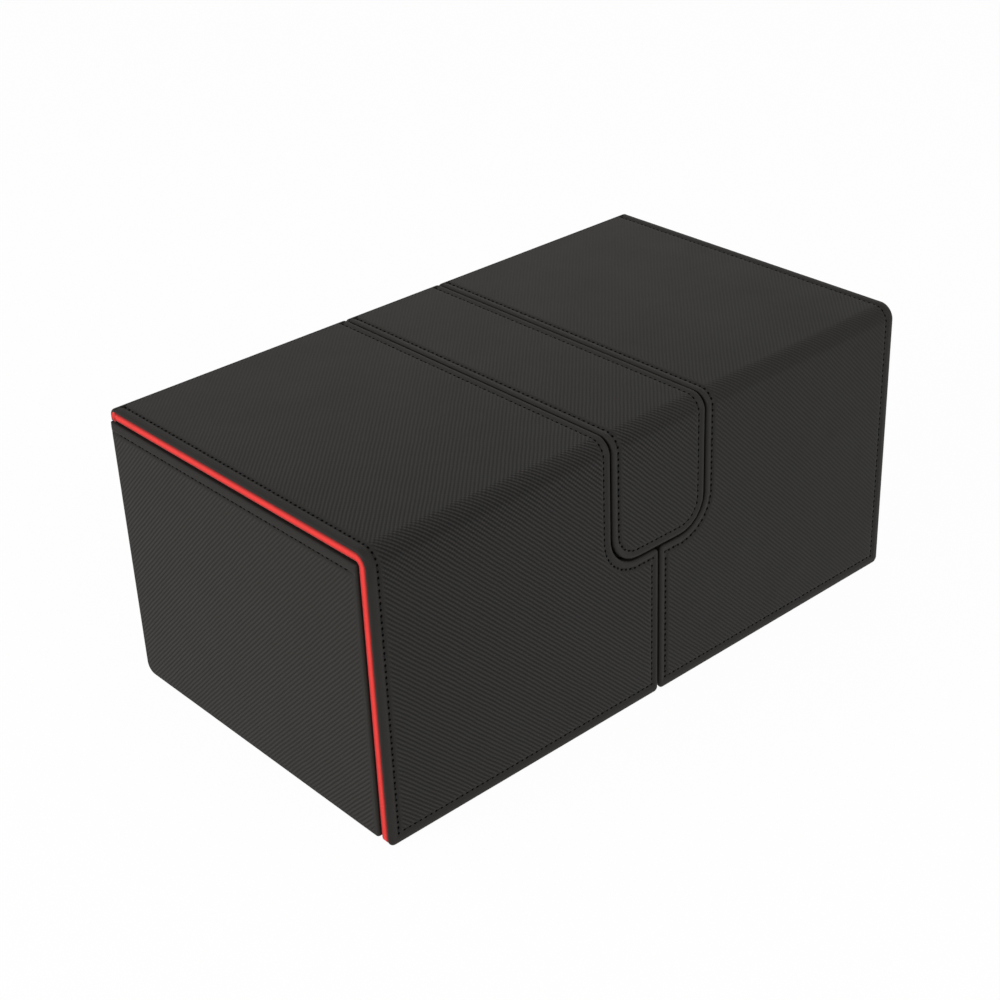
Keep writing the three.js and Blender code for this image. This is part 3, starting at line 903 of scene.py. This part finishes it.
# The loops up the side of a lining, in shares of its depth
LINING_SIDE = (0.4, 0.5, 0.6, 0.7)

# The drawer panel's lower corners, the loops inside its edge in mm, and its cross lines in
# shares of its lip and in mm below its seam
PANEL_CORNERS = (1.5 * MM, 4 * MM)
PANEL_RINGS = (0.6, 1.3, 2.1)
LIP_SHARES = (0.05, 0.12, 0.2, 0.3, 0.42, 0.55, 0.68, 0.78, 0.86, 0.93)
PANEL_CUTS = (0, 0.2, 0.4, 0.6, 0.8, 1.1, 1.5, 2, 2.5, 10, 35, 60)

# Its ribs' strength from top to bottom, and where they fade, in mm: below its top, inside its edges and
# below its seam. Its lip ends there too, and its painted light, a painted highlight, is given without ribs
# and with them.
PANEL_RIBS = (0.62, 0.82)
PANEL_FADE = (10, 60)
PANEL_RIM = (0.8, 2.4)
PANEL_BELOW_SEAM = (0.3, 2.0)
PANEL_PAINTED_LIGHTS = (0.1, 0.03)

# Its lip. On the way from its top to the seam, the shares at which its painted light and its roll end, and
# the power that sets its swell lower. Then its painted light, painted shade at its top under the lid and a
# painted highlight above the seam, and how far in from its ends it is full.
LIP_PAINTED_LIGHT_END = 0.45
LIP_ROLL_END = 0.7
LIP_SAG = 1.3
LIP_PAINTED_LIGHT = 0.28
LIP_ENDS = (0, 3)

# The depth of its seam's valley by that of the other seams, and the valley's width
PANEL_VALLEY = 1.7
PANEL_VALLEY_WIDTH = 0.55 * MM

# The ends of its row of stitches, in from its edges
PANEL_ROW_ENDS = (4 * MM, 4.5 * MM)

SIDES = ("left", "right", "strap")


def parts_of(side):
    """The bodies of a lid and its flap, or of the strap and its tongue, their sheet and its
    outlines."""
    lid, flap = ("strap", "tongue") if side == "strap" else (f"{side}_lid", f"{side}_flap")
    sheet = FoldedSheet(f"{lid}_cover", f"{side}_fold_cover")
    return lid, flap, sheet, Outlines(sheet)


class CARDBOX_OT_covers(bpy.types.Operator):
    """Makes the sewn leather of the lids, flaps, strap and tongue, bent over the front edge"""

    bl_idname = "cardbox.covers"
    bl_label = "Sewn leather"

    def execute(self, context):
        for side in SIDES:
            lid, flap, sheet, outlines = parts_of(side)
            skin = folded_leather(f"{side}_leather", outlines, side, sheet)
            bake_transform(skin, lid, flap, *sheet.blend_ends())
            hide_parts(f"{lid}_cover", f"{side}_fold_cover", f"{flap}_cover")
            row = from_rear(outlines.sewn(side, sizes().seam_inset))
            thread = folded_stitches(f"{side}_stitches", row, sheet)
            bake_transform(thread, lid, flap, *sheet.blend_ends())
        return {"FINISHED"}


def lining_levels(low, under_board, high):
    """Insets and depths of a lining's loops, from the floor of its board's pocket over its rim to
    its inner face."""
    size = sizes()
    pocket = [(size.turned_edge, under_board), (size.turned_edge, low)]
    rim = [(inset, low + depth) for inset, depth in reversed(quarter_round(size.lining_rim))]
    side = [(0, between(low, high, share)) for share in LINING_SIDE]
    rolled = [(inset, high - depth) for inset, depth in quarter_round(size.lining_edge)]
    return [*pocket, *rim, *side, *rolled]


class CARDBOX_OT_linings(bpy.types.Operator):
    """Makes the red linings of the lids, flaps, strap and tongue"""

    bl_idname = "cardbox.linings"
    bl_label = "Red linings"

    def execute(self, context):
        for side in SIDES:
            lid, flap, sheet, outlines = parts_of(side)
            low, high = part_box(f"{lid}_lining")
            under_board = sheet.top_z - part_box(f"{lid}_board")[0][2] + GLUE_LINE
            levels = lining_levels(sheet.top_z - high[2], under_board, sheet.top_z - low[2])
            cloth = folded_lining(f"{side}_red_lining", outlines, side, levels, sheet)
            crease = sheet.crease_ends(levels[-1][1])
            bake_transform(cloth, lid, flap, *crease)
            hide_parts(f"{lid}_lining", f"{side}_fold_lining", f"{flap}_lining")
            foot = sheet.top_z - low[2] - sizes().lining_edge * TURNED_END
            turned = turned_in(f"{side}_turned_leather", outlines, side, sheet, foot)
            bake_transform(turned, lid, flap, *crease)
        return {"FINISHED"}


class CARDBOX_OT_hinges(bpy.types.Operator):
    """Makes the leather that joins each lid and the strap to the back over the rear edge"""

    bl_idname = "cardbox.hinges"
    bl_label = "Rear hinge leather"

    def execute(self, context):
        for side in SIDES:
            body, *_ = parts_of(side)
            node = f"{side}_hinge_strip"
            low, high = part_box(node)
            outer_end = {"left": low[0], "right": high[0]}.get(side)
            strip = rear_roll(f"{side}_hinge_leather", low, high, outer_end)
            start = (0, high[1], low[2])
            end = (0, low[1], high[2])
            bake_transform(strip, "case", body, start, end)
            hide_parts(node)
        return {"FINISHED"}


def roll_section(low, high, radius):
    """The roll's section in X and in the distance from its axis, with soft upper corners."""
    size = sizes()
    soft = [(inset, radius - depth) for inset, depth in quarter_round(size.soft_edge * ROLL_EDGE)]
    foot = [(0, 0.1 * MM), (0, radius - size.skin)]
    half = [*foot, *soft, (size.ribs_start, radius), (size.ribs_full, radius)]
    far = [(high[0] - inset, reach) for inset, reach in reversed(half)]
    return [(low[0] + inset, reach) for inset, reach in half] + far


def rear_roll(name, low, high, outer_end):
    """A quarter roll of leather over the rear edge. At the box's end it has a tab that closes the
    corner below it, and its lining shows."""
    size = sizes()
    radius = high[2] - low[2]
    centre = Vector((0, low[1], low[2]))
    bm = bmesh.new()
    section = roll_section(low, high, radius)
    face = bm.faces.new([bm.verts.new((x, centre.y, centre.z + reach)) for x, reach in section])
    quarter = {"cent": centre, "axis": (1, 0, 0), "dvec": (0, 0, 0), "angle": -math.pi / 2}
    bmesh.ops.spin(bm, geom=[face], steps=ROLL_STEPS, **quarter)
    if outer_end is not None:
        close_corner(bm, centre, outer_end)
    for vert in bm.verts:
        for axis in (1, 2):
            if abs(vert.co[axis] - centre[axis]) < SAME_PLACE:
                vert.co[axis] -= size.hinge_reach
    bmesh.ops.recalc_face_normals(bm, faces=bm.faces)
    for each in bm.faces:
        middle = each.calc_center_median()
        at_end = outer_end is not None and abs(middle.x - outer_end) < SAME_PLACE
        reach = math.hypot(middle.y - centre.y, max(middle.z - centre.z, 0))
        each.material_index = 1 if at_end and reach < radius - size.skin else 0
    write_pattern(
        bm, lambda place: (place.x, -radius * math.atan2(place.y - centre.y, place.z - centre.z))
    )
    ribs, lean, painted_light, lit = new_layers(bm, "ribs", "lean", "painted_light", "lit")
    for vert in bm.verts:
        away = min(vert.co.x - low[0], high[0] - vert.co.x)
        vert[ribs] = smooth_step(away, size.ribs_start, size.ribs_full)
        vert[lean], vert[painted_light], vert[lit] = LID_LEAN, ROLL_PAINTED_LIGHT, ROLL_LIT
    finishes = [material("skin_leather", embossed_leather), material("lid_microfibre", microfibre)]
    return weighted(new_piece(name, bm, finishes))


def close_corner(bm, centre, outer_end):
    """Draws the roll's underside down into a tab at the end of the box, where the case's back
    stops short."""
    tab, drop = 3.0 * MM, 1.5 * MM
    inner = outer_end - math.copysign(tab, outer_end)
    cut_through(bm, inner, (1, 0, 0))
    under = []
    for face in bm.faces:
        middle = face.calc_center_median()
        at_foot = abs(face.normal.z) > 0.9 and abs(middle.z - centre.z) < SAME_PLACE
        if at_foot and abs(middle.x) > abs(inner):
            under.append(face)
    drawn = bmesh.ops.extrude_face_region(bm, geom=under)["geom"]
    moved = [part for part in drawn if isinstance(part, bmesh.types.BMVert)]
    bmesh.ops.translate(bm, verts=moved, vec=(0, 0, -drop))
    bmesh.ops.delete(bm, geom=under, context="FACES_ONLY")


def panel_outline(node, inset):
    """The drawer panel's outline in Y and Z, with rounded lower corners, from its top near corner
    down and round."""
    low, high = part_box(node)
    near_radius, far_radius = (max(corner - inset, SMALLEST_RADIUS) for corner in PANEL_CORNERS)
    near, far, foot = low[1] + inset, high[1] - inset, low[2] + inset
    top = high[2] - sizes().panel_drop - inset
    corners = (
        *corner_arc(near + near_radius, -(foot + near_radius), near_radius, 180, 270),
        *corner_arc(far - far_radius, -(foot + far_radius), far_radius, 270, 360),
    )
    return [(near, top), *((y, -run) for y, run in corners), (far, top)]


class CARDBOX_OT_drawer_front(bpy.types.Operator):
    """Makes the drawer's front panel: leather over board, with a padded lip sewn along its top"""

    bl_idname = "cardbox.drawer_front"
    bl_label = "Drawer front"

    def execute(self, context):
        size = sizes()
        node = "drawer_front_cover"
        low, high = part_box(node)
        seam_z = high[2] - size.panel_seam
        bm = self.skin(node, low, high)
        self.emboss(bm, low, high, seam_z)
        bmesh.ops.recalc_face_normals(bm, faces=bm.faces)
        finish = material("skin_leather", embossed_leather)
        panel = weighted(new_piece("drawer_front_leather", bm, [finish]))
        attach(panel, "drawer")
        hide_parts(node)
        thread = self.stitches(low, high, seam_z)
        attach(thread, "drawer")
        return {"FINISHED"}

    def skin(self, node, low, high):
        """The plain skin, with loops near its edges and cross lines for the lip and the seam."""
        size = sizes()
        depth = high[0] - low[0]
        pocket = [(size.turned_edge, size.skin), (size.turned_edge, depth), (0, depth)]
        rings = [(size.panel_edge + ring * MM, 0) for ring in PANEL_RINGS]
        levels = [*pocket, *quarter_round(size.panel_edge), *rings]
        loops = [
            [Vector((low[0] + sunk, y, z)) for y, z in panel_outline(node, inset)]
            for inset, sunk in levels
        ]
        bm = looped_solid(loops, "ribs", [0] * len(loops))
        lip = size.panel_seam - size.panel_drop
        drops = [*(lip * share for share in LIP_SHARES), *(lip + cut * MM for cut in PANEL_CUTS)]
        for drop in drops:
            cut_through(bm, high[2] - size.panel_drop - drop, (0, 0, 1))
        return bm

    def emboss(self, bm, low, high, seam_z):
        """Writes the pattern map, ribs that start under the seam and inside the edges, and painted light and
        shade. Then swells the lip, rolls its top back in and pulls the seam's valley in."""
        size = sizes()
        write_pattern(bm, lambda place: (place.y, place.z))
        ribs = bm.verts.layers.float["ribs"]
        lean, painted_light = new_layers(bm, "lean", "painted_light")
        top = high[2] - size.panel_drop
        for vert in bm.verts:
            x, y, z = vert.co
            side = min(y - low[1], high[1] - y)
            plainly = between(*PANEL_RIBS, fade(top - z, PANEL_FADE))
            inside = fade(min(side, z - low[2]), PANEL_RIM)
            vert[ribs] = plainly * inside * fade(seam_z - z, PANEL_BELOW_SEAM)
            vert[lean] = LID_LEAN
            # Painted light: the smooth margin is painted lighter than the ribbed field.
            vert[painted_light] = PANEL_PAINTED_LIGHTS[bool(vert[ribs])]
            down = limited((top - z) / (top - seam_z))
            # On the lip: painted shade at its top under the lid, and a painted highlight above the seam.
            if z > seam_z - PANEL_BELOW_SEAM[0] * MM:
                vert[painted_light] = LIP_PAINTED_LIGHT * (smooth_step(down, 0, LIP_PAINTED_LIGHT_END) - 0.5)
            swell = math.sin(math.pi * down**LIP_SAG) * size.panel_lip
            roll = max(1 - down / LIP_ROLL_END, 0) ** 2 * size.panel_roll
            off_seam = (z - seam_z) / PANEL_VALLEY_WIDTH
            valley = size.seam_depth * PANEL_VALLEY * math.exp(-(off_seam**2))
            ends = fade(side, LIP_ENDS)
            front = smooth_step(size.panel_edge - (x - low[0]), 0, size.panel_edge)
            vert.co.x += (valley - swell + roll) * ends * front

    def stitches(self, low, high, seam_z):
        """The row along the panel's top, made flat and stood up against its face."""
        near, far = PANEL_ROW_ENDS
        bm = sewn_row([(low[1] + near, -seam_z), (high[1] - far, -seam_z)])
        write_pattern(bm, lambda place: place.xy)
        for vert in bm.verts:
            y, z, lift = vert.co
            vert.co = (low[0] - lift, y, z)
        bmesh.ops.recalc_face_normals(bm, faces=bm.faces)
        return new_piece("drawer_front_stitches", bm, thread_materials())


NODE_FINISHES = {
    "case_wrap": "case_leather",
    "right_end_cover": "end_leather",
    "left_end_facing": "end_leather",
    "left_well_lining": "well_microfibre",
    "right_well_lining": "well_microfibre",
    "drawer_lining": "well_microfibre",
    "bay_lining": "laid_paper",
    "drawer_front_board": "pressed_board",
}
KIND_FINISHES = {"magnet": "magnet_plating", "catch": "disc_steel", "drawer_": "laid_paper"}


def node_finish(name):
    """The name of the finish that a carried-over node takes."""
    kinds = (finish for kind, finish in KIND_FINISHES.items() if kind in name)
    return NODE_FINISHES.get(name) or next(kinds, "pressed_board")


class CARDBOX_OT_fittings(bpy.types.Operator):
    """Gives the case, the tray, the boards, the magnets and the steel discs their finishes"""

    bl_idname = "cardbox.fittings"
    bl_label = "Case, tray and fittings"

    def execute(self, context):
        # The pattern of the case's leather runs along the box and on round its edges.
        makers = {
            "case_leather": lambda name: embossed_leather(name, lambda x, y, z: (x, y + z)),
            "end_leather": lambda name: embossed_leather(name, lambda x, y, z: (y, z)),
            "well_microfibre": lambda name: microfibre(name, mapped=False),
        }
        for name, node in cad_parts.items():
            finish = node_finish(name)
            for slot in node.material_slots:
                slot.material = material(finish, makers.get(finish, grainy_surface))
        return {"FINISHED"}


# The stage

SOFTBOX_SIDE = 0.8
AIM = (0, 0, 0.05)
FLOOR_SIZE = 6
WORLD_LIGHT = 0.4
# How white the floor is seen, which leaves a little of the box's shadow
FLOOR_GLOW = 0.97


class Camera:
    """The photograph's camera, fitted to the box's edges."""

    place = (-0.37816, -0.42468, 0.36778)
    azimuth = -40.951
    elevation = 29.408
    roll = -2.460
    focal_length = 68.624
    sensor_width = 36


def camera_turn():
    turns = ((Camera.azimuth, "Z"), (90 - Camera.elevation, "X"), (Camera.roll, "Z"))
    azimuth, tilt, roll = (Matrix.Rotation(math.radians(turn), 4, axis) for turn, axis in turns)
    return azimuth @ tilt @ roll


def soft_lamp(name, place, watts):
    """A square softbox that is aimed at the middle of the box."""
    lamp = bpy.data.lights.new(name, "AREA")
    lamp.shape = "RECTANGLE"
    lamp.size = lamp.size_y = SOFTBOX_SIDE
    lamp.energy = watts
    holder = bpy.data.objects.new(name, lamp)
    holder.location = place
    holder.rotation_mode = "QUATERNION"
    holder.rotation_quaternion = (Vector(AIM) - Vector(place)).to_track_quat("-Z", "Y")
    bpy.context.scene.collection.objects.link(holder)


def seen_directly(maker):
    """1 for camera, glossy and transmission rays, and 0 for the rays that light the box."""
    path = maker.node("ShaderNodeLightPath")
    rays = ("Is Camera Ray", "Is Glossy Ray", "Is Transmission Ray")
    camera, glossy, transmission = (Value(maker, path.outputs[name]) for name in rays)
    return (camera + glossy + transmission).clamped()


def floor_material():
    """A pale floor that is seen as almost white, with the box's soft shadow on it."""
    maker = Finish("pale_floor")
    where = maker.place()
    dust = maker.noise(where, 60.0, 3.0) - 0.5
    base = colours().floor
    light = (0.5 + dust * 0.3).clamped()
    pale = maker.mix(light, shade(base, 0.97), shade(base, 1.0))
    maker.finish(base_color=pale, roughness=0.9, specular_ior_level=0.2)
    glow = maker.node("ShaderNodeEmission", {"Color": (1, 1, 1, 1), "Strength": 1.0})
    seen = seen_directly(maker) * FLOOR_GLOW
    maker.feed(maker.output.inputs[0], maker.mixed_shaders(seen, maker.surface, glow))
    return maker.material


def white_world():
    """A world that lights the box softly and that is seen as white."""
    world = bpy.data.worlds.new("studio")
    maker = NodeMaker(world)
    soft, white = (
        maker.node("ShaderNodeBackground", {"Color": (1, 1, 1, 1), "Strength": strength})
        for strength in (WORLD_LIGHT, 1)
    )
    mixed = maker.mixed_shaders(seen_directly(maker), soft, white)
    maker.node("ShaderNodeOutputWorld", {0: mixed})
    bpy.context.scene.world = world


class CARDBOX_OT_stage(bpy.types.Operator):
    """Makes the floor, the soft lamps, the world and the photograph's camera"""

    bl_idname = "cardbox.stage"
    bl_label = "Floor, lamps and camera"

    def execute(self, context):
        bm = bmesh.new()
        bmesh.ops.create_grid(bm, x_segments=4, y_segments=4, size=FLOOR_SIZE)
        floor = new_piece("floor", bm, [floor_material()], smooth=False)
        white_world()
        soft_lamp("front_softbox", place=(0.0, -1.2, 0.6), watts=5.8)
        soft_lamp("left_softbox", place=(-1.3, 0.2, 0.6), watts=12)
        lens = bpy.data.cameras.new("photograph")
        lens.lens = Camera.focal_length
        lens.sensor_width = Camera.sensor_width
        lens.clip_start, lens.clip_end = 0.01, 50
        camera = bpy.data.objects.new("photograph", lens)
        camera.matrix_world = Matrix.Translation(Camera.place) @ camera_turn()
        context.scene.collection.objects.link(camera)
        context.scene.camera = camera
        context.scene.view_settings.view_transform = "Standard"
        return {"FINISHED"}


class CARDBOX_PT_panel(bpy.types.Panel):
    """Lists the pieces of the card box, its sizes and its colours"""

    bl_label = "Card box"
    bl_idname = "CARDBOX_PT_panel"
    bl_space_type = "VIEW_3D"
    bl_region_type = "UI"
    bl_category = "Card box"

    def draw(self, context):
        for operator in OPERATORS:
            self.layout.operator(operator.bl_idname)
        for group in (sizes(), colours()):
            for name in group.__annotations__:
                self.layout.prop(group, name)


OPERATORS = (
    CARDBOX_OT_fittings,
    CARDBOX_OT_covers,
    CARDBOX_OT_linings,
    CARDBOX_OT_hinges,
    CARDBOX_OT_drawer_front,
    CARDBOX_OT_stage,
)
CLASSES = (CardBoxSizes, CardBoxColours, *OPERATORS, CARDBOX_PT_panel)


def register():
    for each in CLASSES:
        bpy.utils.register_class(each)
    bpy.types.Scene.card_box_sizes = bpy.props.PointerProperty(type=CardBoxSizes)
    bpy.types.Scene.card_box_colours = bpy.props.PointerProperty(type=CardBoxColours)


def unregister():
    del bpy.types.Scene.card_box_sizes
    del bpy.types.Scene.card_box_colours
    for each in reversed(CLASSES):
        bpy.utils.unregister_class(each)


def main():
    register()
    bpy.ops.cardbox.fittings()
    bpy.ops.cardbox.covers()
    bpy.ops.cardbox.linings()
    bpy.ops.cardbox.hinges()
    bpy.ops.cardbox.drawer_front()
    bpy.ops.cardbox.stage()


if __name__ == "__main__":
    main()
